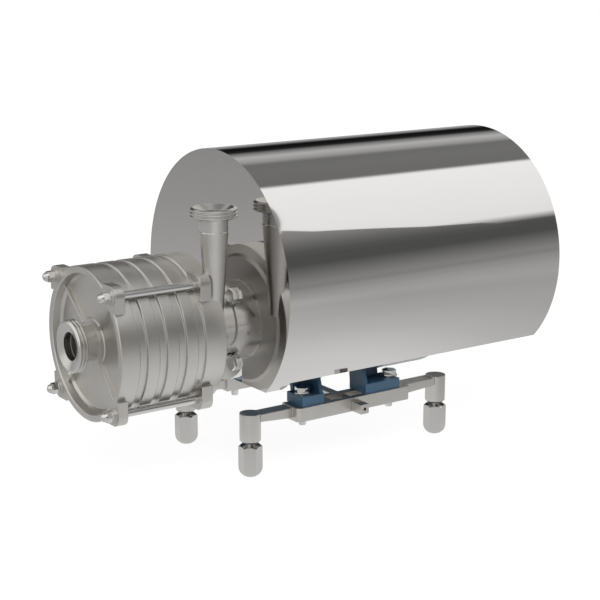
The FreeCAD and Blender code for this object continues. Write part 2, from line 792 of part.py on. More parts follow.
def shaft_seal():
    """The rotating ring on the shaft, the fixed seat and the housing behind the casing."""
    bore = seal_shaft_radius + slip_fit
    shoulder = joint_4 + hub_stack_start + stage_pitch
    rotating = lathe("SealRotatingRing", [(0, bore), (0, seal_ring_radius - 2),
                                          (seal_ring_length / 2, seal_ring_radius),
                                          (seal_ring_length, seal_ring_radius), (seal_ring_length, bore)])
    keep("seal_rotating_ring", rotating, shoulder)
    clear_bore = seal_shaft_radius + running_gap
    seat_start = shoulder + seal_ring_length + running_gap
    seat = lathe("SealSeatRing", [(0, clear_bore), (0, seal_ring_radius),
                                  (seal_seat_length, seal_seat_radius),
                                  (seal_seat_length, clear_bore)])
    keep("seal_seat_ring", seat, seat_start)
    back = -casing_gap
    seat_end = seat_start + seal_seat_length
    seat_bore = seal_seat_radius + slip_fit
    front = back - seal_housing_depth
    housing = lathe("SealHousing", [
        (front, seat_bore), (front, seal_housing_radius), (back, seal_housing_radius),
        (back, seal_flange_radius), (back + seal_flange, seal_flange_radius),
        (back + seal_flange, clear_bore), (seat_end, clear_bore), (seat_end, seat_bore)])
    keep("seal_housing", housing)


def four_corners(x, reach):
    return [(x, y * reach, z * reach) for y in (-1, 1) for z in (1, -1)]


def tie_rods():
    """Four rods from the front ears to the rear ears, with washers and cap nuts."""
    along_x = FreeCAD.Rotation(FreeCAD.Vector(0, 1, 0), 90)
    seat = rim_x - ear_boss_height
    nut_seat = seat - washer_thickness
    tip = nut_seat - cap_nut_height - cap_dome_radius / 2
    rod = doc.addObject("Part::Cylinder", "TieRod")
    bind(rod, "Radius", rod_radius)
    bind(rod, "Height", -rod_end - tip)
    keep_group("tie_rods", rod, four_corners(tip, rod_place), along_x)
    washer = lathe("RodWasher", [(0, rod_radius + slip_fit), (0, rod_washer_radius),
                                 (washer_thickness, rod_washer_radius),
                                 (washer_thickness, rod_radius + slip_fit)])
    keep_group("tie_rod_washers", washer, four_corners(nut_seat, rod_place))
    nut = new_body("CapNut")
    pad(nut, hexagon(new_sketch(nut, "YZ_Plane", -cap_nut_height), cap_nut_flats), cap_nut_height)
    dome = [turned(cap_dome_radius, angle) for angle in range(0, 91, 18)]
    outline = [(-cap_nut_height - along, radius) for along, radius in dome]
    sketch = new_sketch(nut, "XZ_Plane")
    polygon(sketch, [*outline, (-cap_nut_height + 1, cap_dome_radius), (-cap_nut_height + 1, 0)])
    revolve(nut, sketch)
    bore = ring(new_sketch(nut, "YZ_Plane"), 0, 0, rod_radius + slip_fit)
    pocket(nut, bore, cap_nut_height + cap_dome_radius / 2 + slip_fit, forward=False)
    keep_group("tie_rod_cap_nuts", nut, four_corners(nut_seat, rod_place))


def adapter():
    """The drum that carries the pump casing on the flange of the motor."""
    front = -casing_gap
    ring_end = front + adapter_ring_length
    back = shield_face
    body = lathe("Adapter", [
        (front, drum_inner_radius), (front, adapter_ring_radius), (ring_end, adapter_ring_radius),
        (ring_end, drum_radius), (adapter_face, drum_radius), (adapter_face, adapter_flange_radius),
        (back, adapter_flange_radius), (back, drum_inner_radius)])
    drain = new_sketch(body, "XZ_Plane", drum_radius + 1)
    ring(drain, -drain_back, -drain_radius * 2, drain_radius)
    pocket(body, drain, drain_depth, forward=False)
    reach = adapter_screw_circle / math.sqrt(2)
    hole = ring(new_sketch(body, "YZ_Plane", adapter_face), reach, reach, bolt_radius + bolt_hole_gap)
    spread(body, [pocket(body, hole, adapter_flange)], "X_Axis", 4)
    keep("adapter", body)


def hex_bolt(name, shank):
    """A hexagon head above its seat, with the shank below."""
    body = new_body(name)
    pad(body, hexagon(new_sketch(body, "XY_Plane"), bolt_flats, 15), bolt_head)
    sketch = new_sketch(body, "XZ_Plane")
    polygon(sketch, [(0, 1), (bolt_radius, 1), (bolt_radius, 1 - shank),
                     (bolt_radius - 1, -shank), (0, -shank)])
    revolve(body, sketch, "V_Axis")
    return body


def adapter_screws():
    towards_pump = FreeCAD.Rotation(FreeCAD.Vector(0, 1, 0), -90)
    washer_seat = adapter_face - washer_thickness
    reach = adapter_screw_circle / math.sqrt(2)
    shank = washer_thickness + adapter_flange + shield_wall
    keep_group("adapter_screws", hex_bolt("AdapterScrew", shank),
               four_corners(washer_seat, reach), towards_pump)
    washer = lathe("AdapterWasher", [(0, bolt_radius + slip_fit), (0, bolt_washer_radius),
                                     (washer_thickness, bolt_washer_radius),
                                     (washer_thickness, bolt_radius + slip_fit)])
    keep_group("adapter_washers", washer, four_corners(washer_seat, reach))


def clamp_ring():
    """The ring that clamps the socket of the pump shaft on the motor shaft."""
    bore = socket_radius + slip_fit
    bevel = clamp_ring_length / 5
    body = lathe("ClampRing", [
        (0, bore), (0, clamp_ring_radius - bevel), (bevel, clamp_ring_radius),
        (clamp_ring_length, clamp_ring_radius), (clamp_ring_length, bore)])
    keep("clamp_ring", body, -clamp_ring_back - clamp_ring_length)


def motor_shaft_and_bearings():
    front_seat = shield_face + seat_wall
    rear_seat = frame_back - rear_seat_inset
    seat_end = rear_seat + bearing_width + seat_wall
    core_from = core_start - winding_length
    core_to = core_start + core_length + winding_length
    shaft_end = fan_start + fan_width
    body = lathe("MotorShaft", [
        (-motor_shaft_stands, 0), (-motor_shaft_stands, motor_shaft_radius),
        (front_seat, motor_shaft_radius), (front_seat, bearing_seat_radius),
        (core_from, bearing_seat_radius), (core_from, core_shaft_radius),
        (core_to, core_shaft_radius), (core_to, bearing_seat_radius),
        (seat_end, bearing_seat_radius), (seat_end, fan_shaft_radius),
        (shaft_end, fan_shaft_radius), (shaft_end, 0)])
    keep("motor_shaft", body)
    for label, start in (("front_bearing", front_seat), ("rear_bearing", rear_seat)):
        bore = bearing_seat_radius + bearing_fit
        bearing = lathe(label.title().replace("_", ""), [
            (0, bore), (0, bearing_radius), (bearing_width, bearing_radius), (bearing_width, bore)])
        keep(label, bearing, start)


def rotor_and_stator():
    rotor_radius = core_bore - air_gap
    bore = core_shaft_radius + slip_fit
    ring_outer = rotor_radius - end_ring_drop
    ring_inner = core_shaft_radius + end_ring_inset
    ring_end = core_length + end_ring_length
    rotor = lathe("RotorCore", [
        (-end_ring_length, ring_inner), (-end_ring_length, ring_outer), (0, ring_outer),
        (0, rotor_radius), (core_length, rotor_radius), (core_length, ring_outer),
        (ring_end, ring_outer), (ring_end, ring_inner), (core_length, ring_inner),
        (core_length, bore), (0, bore), (0, ring_inner)])
    keep("rotor_core", rotor, core_start)
    stator_radius = frame_bore - slip_fit
    stator = lathe("StatorCore", [(0, core_bore), (0, stator_radius),
                                  (core_length, stator_radius), (core_length, core_bore)])
    keep("stator_core", stator, core_start)
    inner = core_bore + winding_inset
    shoulder = winding_radius - winding_bevel
    winding = lathe("Winding", [(0, inner), (0, shoulder), (winding_bevel, winding_radius),
                                (winding_length - winding_bevel, winding_radius),
                                (winding_length, shoulder), (winding_length, inner)])
    keep_group("stator_windings", winding,
               [(core_start - winding_length, 0, 0), (core_start + core_length, 0, 0)])


def motor_shields():
    """The two end shields, each with its bearing seat and a spigot in the frame."""
    seat = bearing_radius + slip_fit
    spigot = frame_bore - slip_fit
    clear = bearing_seat_radius + shield_gap
    hub = bearing_radius + seat_hub_wall
    seat_start = shield_face + seat_wall
    seat_end = seat_start + bearing_width
    web = shield_face + shield_wall
    front = lathe("MotorFrontShield", [
        (shield_face, clear), (shield_face, shield_radius), (web, shield_radius),
        (frame_front - 5, shield_radius + 4), (frame_front, shield_radius + 4),
        (frame_front, spigot), (frame_front + shield_spigot, spigot),
        (frame_front + shield_spigot, spigot - 6),
        (web, spigot - 10), (web, hub), (seat_end, hub), (seat_end, seat),
        (seat_start, seat), (seat_start, clear)])
    reach = adapter_screw_circle / math.sqrt(2)
    hole = ring(new_sketch(front, "YZ_Plane", shield_face), reach, reach, bolt_radius + slip_fit)
    spread(front, [pocket(front, hole, shield_wall + 14)], "X_Axis", 4)
    keep("motor_front_shield", front)
    end = frame_back
    seat_from = end - rear_seat_inset
    seat_to = seat_from + bearing_width
    seat_back = seat_to + seat_wall
    cowl_seat = cowl_radius - cowl_wall - slip_fit
    rear = lathe("MotorRearShield", [
        (end - shield_spigot, spigot - 6), (end - shield_spigot, spigot), (end, spigot),
        (end, cowl_seat), (end + 5, cowl_seat), (end + 8, hub + 20), (seat_back, hub),
        (seat_back, clear),
        (seat_to, clear), (seat_to, seat), (seat_from, seat), (seat_from, hub),
        (end + 3, hub + 6), (end + 3, spigot - 10)])
    keep("motor_rear_shield", rear)


def foot_features(body, start, length, web_start, leg_start, leg_length):
    """One foot on the near side: pad, sloping leg and web."""
    features = []
    plan = new_sketch(body, "XY_Plane", -motor_height)
    end = start + length
    polygon(plan, [(start, -pad_outer), (end, -pad_outer), (end, -pad_inner), (start, -pad_inner)])
    features.append(pad(body, plan, pad_height))
    pad_top = -motor_height + pad_height - 1
    leg = new_sketch(body, "YZ_Plane", leg_start)
    leg_top = pad_inner - leg_lean
    polygon(leg, [(-pad_inner - leg_wall, pad_top), (-pad_inner, pad_top),
                  (-leg_top, -web_top), (-leg_top - leg_wall, -web_top)])
    features.append(pad(body, leg, leg_length))
    web = new_sketch(body, "YZ_Plane", web_start)
    polygon(web, [(-pad_inner, pad_top), (-pad_outer + 2, pad_top),
                  (-web_top_outer, -web_top), (-leg_top, -web_top)])
    features.append(pad(body, web, web_wall))
    return features


def motor_frame():
    """The finned housing with its four cast feet, the box base and the lifting boss."""
    body = lathe("MotorFrame", [
        (frame_front, frame_bore), (frame_front, frame_radius),
        (frame_back, frame_radius), (frame_back, frame_bore)])
    half = fin_wall / 2
    first = -38
    fin = new_sketch(body, "YZ_Plane", frame_front + fin_inset)
    low = turned(frame_radius - 1, first)
    high = turned(fin_radius, first)
    aside = turned(half, first + 90)
    polygon(fin, [(low[0] - aside[0], low[1] - aside[1]), (high[0] - aside[0], high[1] - aside[1]),
                  (high[0] + aside[0], high[1] + aside[1]), (low[0] + aside[0], low[1] + aside[1])])
    fins = spread(body, [pad(body, fin, frame_length - fin_inset - fin_back_inset)], "X_Axis", 25)
    fins.Angle = 180 - 2 * first
    base_bottom = frame_bore - box_base_sunk
    base_start, base_end = box_start + box_base_inset, box_start + box_length - box_base_inset
    base_side = box_width / 2 - box_base_inset
    base = new_sketch(body, "XY_Plane", base_bottom)
    polygon(base, [(base_start, -base_side), (base_end, -base_side), (base_end, base_side),
                   (base_start, base_side)])
    pad(body, base, box_bottom - base_bottom)
    boss = ring(new_sketch(body, "XY_Plane", frame_radius - 4), stay_x, 0, stay_width / 2)
    pad(body, boss, fin_radius - frame_radius + 5)
    front_web = front_pad_start + front_pad_length - web_wall
    features = foot_features(body, front_pad_start, front_pad_length, front_web,
                             front_pad_start + front_leg_inset, front_pad_length - front_leg_inset)
    features += foot_features(body, rear_pad_start, rear_pad_length, rear_pad_start,
                              rear_pad_start, rear_leg_length)
    holes = new_sketch(body, "XY_Plane", -motor_height + pad_height)
    for x in (front_bolt_x, front_bolt_x + bolt_spacing):
        ring(holes, x, -bolt_y, bolt_radius + bolt_hole_gap)
    features.append(pocket(body, holes, pad_height, forward=False))
    mirror = body.newObject("PartDesign::Mirrored", "FarFeet")
    mirror.Originals = features
    mirror.MirrorPlane = (origin_part(body, "XZ_Plane"), [""])
    finish(body, mirror)
    inside = new_sketch(body, "XZ_Plane")
    polygon(inside, [(frame_front - 1, 0), (frame_front - 1, frame_bore),
                     (frame_back + 1, frame_bore), (frame_back + 1, 0)])
    turn_out(body, inside)
    keep("motor_frame", body)


def fan_and_cowl():
    bore = fan_shaft_radius + slip_fit
    fan = lathe("Fan", [(0, bore), (0, fan_radius), (fan_plate, fan_radius),
                        (fan_plate, fan_hub_radius), (fan_width, fan_hub_radius - 2),
                        (fan_width, bore)])
    half = fan_plate / 2
    blade = new_sketch(fan, "YZ_Plane", fan_plate / 2)
    polygon(blade, [(fan_hub_radius - 3, -half), (fan_radius, -half),
                    (fan_radius, half), (fan_hub_radius - 3, half)])
    spread(fan, [pad(fan, blade, fan_width - fan_plate / 2)], "X_Axis", 7)
    keep("fan", fan, fan_start)
    inner = cowl_radius - cowl_wall
    bend = cowl_bend
    half_bend = bend * 0.3
    end = cowl_length
    cowl = lathe("FanCowl", [
        (0, inner), (0, cowl_radius), (end - bend, cowl_radius),
        (end - half_bend, cowl_radius - half_bend), (end, cowl_radius - bend), (end, 0),
        (end - cowl_wall, 0), (end - cowl_wall, inner - bend + 1),
        (end - half_bend - cowl_wall, inner - half_bend), (end - bend, inner)])
    slot = new_sketch(cowl, "YZ_Plane", end - cowl_wall - 1)
    half_slot = slot_width / 2
    polygon(slot, [(slot_inner, -half_slot), (slot_outer, -half_slot),
                   (slot_outer, half_slot), (slot_inner, half_slot)])
    spread(cowl, [pocket(cowl, slot, cowl_wall + 2)], "X_Axis", 16)
    keep("fan_cowl", cowl, frame_back)


def terminal_box():
    """The connection box on top of the motor, with its lid and a blanked cable gland."""
    half = box_width / 2
    box = new_body("TerminalBox")
    plan = [(0, -half), (box_length, -half), (box_length, half), (0, half)]
    pad(box, polygon(new_sketch(box, "XY_Plane"), plan), box_height)
    low, far = box_wall, box_length - box_wall
    side = half - box_wall
    hollow = new_sketch(box, "XY_Plane", box_height)
    polygon(hollow, [(low, -side), (far, -side), (far, side), (low, side)])
    pocket(box, hollow, box_height - box_wall, forward=False)
    keep("terminal_box", box, box_start, 0, box_bottom)
    lid = new_body("TerminalBoxLid")
    pad(lid, polygon(new_sketch(lid, "XY_Plane"), plan), lid_height)
    keep("terminal_box_lid", lid, box_start, 0, box_bottom + box_height)
    gland = new_body("CableGland")
    flats = gland_radius * 2
    pad(gland, hexagon(new_sketch(gland, "XZ_Plane", -gland_length / 2), flats), gland_length / 2)
    tip = ring(new_sketch(gland, "XZ_Plane", -gland_length), 0, 0, gland_radius * 0.8)
    pad(gland, tip, gland_length / 2)
    keep("cable_gland", gland, box_start + box_length / 2, half, box_bottom + box_height / 2)


def foot_bolts():
    seat = -motor_height + pad_height
    places = [(front_bolt_x + step * bolt_spacing, side * bolt_y) for step in (0, 1) for side in (-1, 1)]
    washer = turned_about_z("FootWasher", [
        (bolt_radius + slip_fit, 0), (bolt_washer_radius + 1, 0),
        (bolt_washer_radius + 1, washer_thickness), (bolt_radius + slip_fit, washer_thickness)])
    keep_group("foot_washers", washer, [(x, y, seat) for x, y in places])
    bolt = hex_bolt("FootBolt", foot_bolt_length)
    keep_group("foot_bolts", bolt, [(x, y, seat + washer_thickness) for x, y in places])


def rail(label, side):
    """One side of the leg frame: a wide bearer between two arms that reach the posts."""
    body = new_body(label.title().replace("_", ""))
    start, end = rail_start, rail_start + rail_length
    inner, outer = rail_inner * side, rail_outer * side
    corner = rail_corner
    plan = new_sketch(body, "XY_Plane", rail_top - rail_height)
    polygon(plan, [(start, inner), (start, outer - side * corner), (start + corner, outer),
                   (end - corner, outer), (end, outer - side * corner), (end, inner)])
    pad(body, plan, rail_height)
    for post, edge, step in ((post_x, start, 1), (post_x + post_spacing, end, -1)):
        arm = new_sketch(body, "XZ_Plane", -side * post_y)
        arm_top = rail_top - arm_drop
        polygon(arm, [(post, arm_top), (edge + step, arm_top),
                      (edge + step, rail_top - arm_rail_height), (post, rail_top - arm_post_height)])
        pad(body, arm, arm_width, True)
    seats = new_sketch(body, "XY_Plane", rail_top)
    for post in (post_x, post_x + post_spacing):
        ring(seats, post, side * post_y, post_radius)
    pocket(body, seats, rail_height, forward=False)
    holes = new_sketch(body, "XY_Plane", rail_top)
    for x in (front_bolt_x, front_bolt_x + bolt_spacing):
        ring(holes, x, side * bolt_y, bolt_radius + slip_fit)
    pocket(body, holes, rail_height, forward=False)
    window = new_sketch(body, "XY_Plane", rail_top)
    window_end = rail_window_x + rail_window_length
    near, far = (rail_inner + rail_wall) * side, (rail_outer - rail_wall) * side
    polygon(window, [(rail_window_x, near), (window_end, near), (window_end, far), (rail_window_x, far)])
    pocket(body, window, rail_height, forward=False)
    top = rail_top - bar_drop + slip_fit
    low, high = bar_x - bar_side / 2 - slip_fit, bar_x + bar_side / 2 + slip_fit
    bottom = rail_top - bar_drop - bar_side - slip_fit
    slot = new_sketch(body, "XZ_Plane", -side * (rail_inner + rail_outer) / 2)
    polygon(slot, [(low, bottom), (high, bottom), (high, top), (low, top)])
    cut = pocket(body, slot, rail_outer)
    cut.SideType = "Symmetric"
    keep(label, body)


def cross_bar():
    """The square bar that ties the two rails, with a tapped hole in its near end."""
    body = new_body("CrossBar")
    half = bar_side / 2
    corners = [(-half, -half), (half, -half), (half, half), (-half, half)]
    section = polygon(new_sketch(body, "XZ_Plane"), corners)
    pad(body, section, 2 * bar_half_length, True)
    hole = ring(new_sketch(body, "XZ_Plane", bar_half_length), 0, 0, bar_hole_radius)
    pocket(body, hole, bar_hole_depth, forward=False)
    keep("cross_bar", body, bar_x, 0, rail_top - bar_drop - half)


def post_and_foot(name, x, side):
    """A round post at the end of an arm, with a screwed hexagon foot below it."""
    title = name.title().replace("_", "")
    stud_bore = stud_radius + running_gap
    bore_top = stud_length - stud_gap - post_height + 4
    post = turned_about_z(f"{title}Post", [
        (0, 0), (post_radius, 0), (post_radius, -post_height + post_chamfer),
        (post_radius - post_chamfer, -post_height), (stud_bore, -post_height),
        (stud_bore, bore_top), (0, bore_top)])
    keep(f"{name}_post", post, x, side * post_y, rail_top)
    height = shaft_height - motor_height - post_height - stud_gap
    foot = new_body(f"{title}Foot")
    corner = foot_flats / math.sqrt(3)
    pad(foot, hexagon(new_sketch(foot, "XY_Plane", -height), foot_flats, 25), height)
    shoulder = new_sketch(foot, "XZ_Plane")
    polygon(shoulder, [(foot_flats / 2 - 0.5, 0), (corner + 1, -foot_chamfer), (corner + 1, 1),
                       (foot_flats / 2 - 0.5, 1)])
    turn_out(foot, shoulder, "V_Axis")
    dome = [(foot_tip_radius + across * (corner - foot_tip_radius), foot_dome - up * foot_dome - height)
            for across, up in [turned(1, angle) for angle in range(0, 91, 15)]]
    under = new_sketch(foot, "XZ_Plane")
    polygon(under, [*dome, (foot_tip_radius, -height - 1), (corner + 1, -height - 1),
                    (corner + 1, foot_dome - height)])
    turn_out(foot, under, "V_Axis")
    stud = ring(new_sketch(foot, "XY_Plane", -1), 0, 0, stud_radius)
    pad(foot, stud, stud_length + 1)
    keep(f"{name}_foot", foot, x, side * post_y, height - shaft_height)


def shroud():
    """The polished half drum over the motor, with its front plate and the stay under its crown."""
    inner = shroud_radius - shroud_sheet
    wrap = new_body("ShroudWrap")
    section = new_sketch(wrap, "YZ_Plane")
    ring(section, 0, shroud_rise, shroud_radius)
    ring(section, 0, shroud_rise, inner)
    pad(wrap, section, shroud_length)
    hem = new_sketch(wrap, "YZ_Plane", shroud_length - hem_height)
    ring(hem, 0, shroud_rise, shroud_radius - shroud_sheet / 2)
    ring(hem, 0, shroud_rise, inner - shroud_sheet)
    pad(wrap, hem, hem_height)
    apron = -shroud_cut - apron_drop
    floor = shroud_rise - shroud_radius - 5
    below = new_sketch(wrap, "XZ_Plane")
    polygon(below, [
        (-1, apron), (apron_length - 6, apron), (apron_length - 2, apron + 3),
        (apron_length, -shroud_cut), (shroud_length + 1, -shroud_cut),
        (shroud_length + 1, floor), (-1, floor)])
    cut = pocket(wrap, below, 2 * shroud_radius + 10)
    cut.SideType = "Symmetric"
    keep("shroud_wrap", wrap)
    plate = new_body("ShroudFrontPlate")
    disc = ring(new_sketch(plate, "YZ_Plane"), 0, shroud_rise, inner)
    pad(plate, disc, shroud_sheet)
    bore = ring(new_sketch(plate, "YZ_Plane"), 0, 0, plate_opening)
    pocket(plate, bore, shroud_sheet)
    reach = adapter_screw_circle / math.sqrt(2)
    windows = new_sketch(plate, "YZ_Plane")
    for side in (-1, 1):
        ring(windows, side * reach, reach, screw_window)
    pocket(plate, windows, shroud_sheet)
    wide = shroud_radius + 5
    slot = new_sketch(plate, "YZ_Plane")
    half_slot = [(plate_slot, 0), (plate_slot, -plate_shoulder), (plate_slot_wide, -plate_shoulder),
                 (plate_slot_wide, apron), (wide, apron), (wide, floor)]
    polygon(slot, [*half_slot, *[(-across, up) for across, up in reversed(half_slot)]])
    pocket(plate, slot, shroud_sheet)
    keep("shroud_front_plate", plate)
    foot_z = fin_radius + 1
    crown = shroud_rise + inner
    stay = turned_about_z("ShroudStay", [
        (0, 0), (stay_width / 2, 0), (stay_width / 2, stay_foot),
        (stay_width / 4, stay_foot), (stay_width / 4, crown - foot_z - running_gap),
        (0, crown - foot_z - running_gap)])
    keep("shroud_stay", stay, stay_x, 0, foot_z)


def build():
    inlet_union()
    inlet_casing()
    for number, joint in enumerate((joint_1, joint_2, joint_3), 1):
        stage_casing(number, joint)
    outlet_casing()
    outlet_pipe()
    casing_seal_rings()
    for number, joint in enumerate((joint_1, joint_2, joint_3, joint_4), 1):
        impeller(number, joint)
    impeller_nut()
    pump_shaft()
    shaft_seal()
    tie_rods()
    adapter()
    adapter_screws()
    clamp_ring()
    motor_shaft_and_bearings()
    rotor_and_stator()
    motor_shields()
    motor_frame()
    fan_and_cowl()
    terminal_box()
    foot_bolts()
    rail("near_rail", -1)
    rail("far_rail", 1)
    cross_bar()
    for end, x in (("front", post_x), ("rear", post_x + post_spacing)):
        post_and_foot(f"{end}_near", x, -1)
        post_and_foot(f"{end}_far", x, 1)
    shroud()


def check():
    """Stop on any failed feature, any cut that cuts nothing and any bad solid."""
    for thing in doc.Objects:
        if "Invalid" in thing.State or "Error" in thing.State:
            raise RuntimeError(f"{thing.Label} failed: {thing.State}")
        cuts = thing.isDerivedFrom("PartDesign::Pocket") or thing.isDerivedFrom("PartDesign::Groove")
        if cuts and thing.Shape.Volume > thing.BaseFeature.Shape.Volume - 1:
            raise RuntimeError(f"{thing.Label} removes nothing")
    for piece in pieces:
        shape = piece.Shape
        if shape.isNull() or not shape.isValid() or not shape.Solids:
            raise RuntimeError(f"{piece.Label} has no valid solid")


def export():
    os.makedirs("parts", exist_ok=True)
    for piece in pieces:
        piece.Shape.exportStep(os.path.join("parts", f"{piece.Label}.step"))


build()
doc.recompute()
check()
export()
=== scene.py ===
"""Sanitary centrifugal pump: finishes, weld beads, studio light and camera.

Lengths are in metres, in the frame of the solids: +X runs along the shaft from the inlet to the
motor fan, Z is up, and the origin lies on the floor under the middle of the pump.
"""
import json
import math

import bmesh
import bpy
from mathutils import Matrix, Vector


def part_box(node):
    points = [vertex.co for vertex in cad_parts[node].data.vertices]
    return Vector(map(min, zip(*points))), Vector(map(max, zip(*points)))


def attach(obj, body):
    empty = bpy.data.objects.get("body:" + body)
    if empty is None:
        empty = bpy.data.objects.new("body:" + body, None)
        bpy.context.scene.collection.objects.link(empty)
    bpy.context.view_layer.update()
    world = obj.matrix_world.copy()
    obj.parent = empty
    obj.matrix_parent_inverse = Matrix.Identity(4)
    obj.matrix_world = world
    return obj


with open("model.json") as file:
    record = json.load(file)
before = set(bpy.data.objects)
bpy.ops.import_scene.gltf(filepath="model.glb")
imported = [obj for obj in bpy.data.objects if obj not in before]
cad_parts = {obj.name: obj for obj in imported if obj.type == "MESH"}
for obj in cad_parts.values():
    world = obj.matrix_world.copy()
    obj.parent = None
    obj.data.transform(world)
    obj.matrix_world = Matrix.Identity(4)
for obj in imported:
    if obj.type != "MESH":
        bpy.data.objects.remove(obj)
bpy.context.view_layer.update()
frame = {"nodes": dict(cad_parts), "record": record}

SHAFT_HEIGHT = 0.1828
CAST_EDGE = 0.0014
UNION_EDGE = 0.0005
LAMINATION = 0.0006

# Weld beads
INLET_NECK_RADIUS = 0.0215
OUTLET_LIP = 0.002
THIN_BEAD = 0.0022
WIDE_BEAD = 0.0026
BEAD_STEPS = 144
BEAD_RIPPLES = 72
RIPPLE_HEIGHT = 0.0016

# Floor as reflections see it: light at shares of a reach, from its middle and from a bright pool
FLOOR_RADIUS = 9
FLOOR_REACH = 5
FLOOR_LIGHT = [(0.0, 0.9), (0.04, 0.86), (0.075, 0.66), (0.11, 0.56), (0.16, 0.5), (0.21, 0.53),
               (0.3, 0.48), (0.42, 0.42), (0.9, 0.32)]
POOL_PLACE = (-0.6, -1.4, 0)
POOL_REACH = 2
POOL_LIGHT = [(0.0, 0.5), (0.2, 0.42), (0.42, 0.14), (0.65, 0.0)]

# Studio: light at angles about the shaft, from straight up towards the near side
STUDIO = [(-180, 0.3), (-95, 0.4), (-86, 0.4), (-80, 0.26), (-74, 0.03), (-70, 0.004), (-60, 0.02),
          (-54, 0.29), (-46, 0.62), (-38, 0.44), (-33, 0.22), (-22, 0.238), (-3.5, 0.222),
          (-0.6, 1.28), (42, 1.2), (55, 1.15), (59.5, 0.45), (62, 0.12), (66, 0.112),
          (74, 0.108), (82, 0.215), (90, 0.325), (180, 0.5)]
MOTOR_WALL = (0.5, 0.5, 0.5, 1)
MOTOR_WALL_FROM = 0.82
INLET_WALL = (1.05, 1.03, 1.0, 1)
INLET_WALL_FROM = 0.4
WALL_EDGE = 8

# Cards: light at shares of a rise of about 0.3 m above their foot
CARD_FOOT = 0.5
CARD_RISE = 3.33
GREY_CARD = [(-0.02, -0.08, 0.939), (0.2, -0.08, 0.939), (0.2, -0.777, 0.451),
             (-0.02, -0.777, 0.451)]
GREY_LIGHT = [(0.0, 0.34), (1.0, 0.34)]
DARK_CARD = [(0.276, -0.529, 0.7575), (0.336, -0.562, 0.722), (0.456, -0.594, 0.685),
             (0.576, -0.628, 0.638), (0.706, -0.65, 0.603), (0.8, -0.686, 0.531),
             (0.2, -0.686, 0.531)]
DARK_LIGHT = [(0.0, 0.11), (0.2, 0.13), (0.37, 0.19), (0.63, 0.31), (0.87, 0.38)]


def find(sockets, key):
    """A socket by its place, or by the identifier that tells a colour from a number."""
    if isinstance(key, int):
        return sockets[key]
    return [socket for socket in sockets if key in (socket.identifier, socket.name)][0]


class Value:
    """A number that varies over a surface, with the sums that the finishes use."""

    def __init__(self, paint, socket):
        self.paint = paint
        self.socket = socket

    def math(self, operation, *others):
        return self.paint.node("ShaderNodeMath", {"operation": operation}, {
            index: other for index, other in enumerate((self, *others))})

    def __add__(self, other):
        return self.math("ADD", other)

    def __sub__(self, other):
        return self.math("SUBTRACT", other)

    def __rsub__(self, other):
        return self.math("MULTIPLY_ADD", -1, other)

    def __mul__(self, other):
        return self.math("MULTIPLY", other)

    __radd__ = __add__
    __rmul__ = __mul__


class Paint:
    """One node tree, filled by a single method."""

    def __init__(self, tree):
        self.tree = tree
        tree.nodes.clear()

    def node(self, kind, settings=None, sockets=None, output=0):
        """Add a node: its settings first, then its sockets, and give back one output."""
        node = self.tree.nodes.new(kind)
        for name, value in (settings or {}).items():
            if name == "stops":
                set_stops(node.color_ramp, value)
            else:
                setattr(node, name, value)
        for key, value in (sockets or {}).items():
            if isinstance(value, Value):
                self.tree.links.new(value.socket, find(node.inputs, key))
            else:
                find(node.inputs, key).default_value = value
        return Value(self, find(node.outputs, output)) if node.outputs else None

    def object_place(self):
        return self.node("ShaderNodeTexCoord", output="Object")

    def along(self, vector, axis):
        return self.node("ShaderNodeSeparateXYZ", {}, {"Vector": vector}, output=axis)

    def noise(self, scale, detail=3, stretch=(1, 1, 1)):
        """Noise in object coordinates, stretched to suit a grain that runs one way."""
        place = self.node("ShaderNodeMapping", {}, {
            "Vector": self.object_place(), "Scale": stretch})
        return self.node("ShaderNodeTexNoise", {}, {
            "Vector": place, "Scale": scale, "Detail": detail})

    def ramp(self, value, stops):
        return self.node("ShaderNodeValToRGB", {"stops": stops}, {"Fac": value})

    def blend(self, factor, first, second, mode="MIX"):
        return self.node("ShaderNodeMix", {"data_type": "RGBA", "blend_type": mode}, {
            "Factor_Float": factor, "A_Color": first, "B_Color": second}, output="Result_Color")

    def mix(self, factor, first, second):
        """One shader where the factor is 0, the other where it is 1."""
        return self.node("ShaderNodeMixShader", {}, {0: factor, 1: first, 2: second})

    def clamp(self, value):
        return self.node("ShaderNodeClamp", {}, {"Value": value})

    def bump(self, height, distance, strength, edge=0.0):
        """Surface relief, over edges that are rounded by the radius edge where one is given."""
        inputs = {"Height": height, "Distance": distance, "Strength": strength}
        if edge:
            inputs["Normal"] = self.node("ShaderNodeBevel", {"samples": 6}, {"Radius": edge})
        return self.node("ShaderNodeBump", {}, inputs)


def set_stops(ramp, stops):
    while len(ramp.elements) < len(stops):
        ramp.elements.new(0.5)
    for element, (position, light) in zip(ramp.elements, stops):
        element.position = position
        element.color = (light, light, light, 1)


def new_material(name):
    material = bpy.data.materials.new(name)
    material.use_nodes = True
    return material, Paint(material.node_tree)


def finish_material(name, sockets):
    """A surface whose varying sockets are filled by a function of its paint."""
    material, paint = new_material(name)
    surface = paint.node("ShaderNodeBsdfPrincipled", {}, sockets(paint))
    paint.node("ShaderNodeOutputMaterial", {}, {"Surface": surface})
    return material


def tone(color, factor):
    return (*[channel * factor for channel in color], 1)


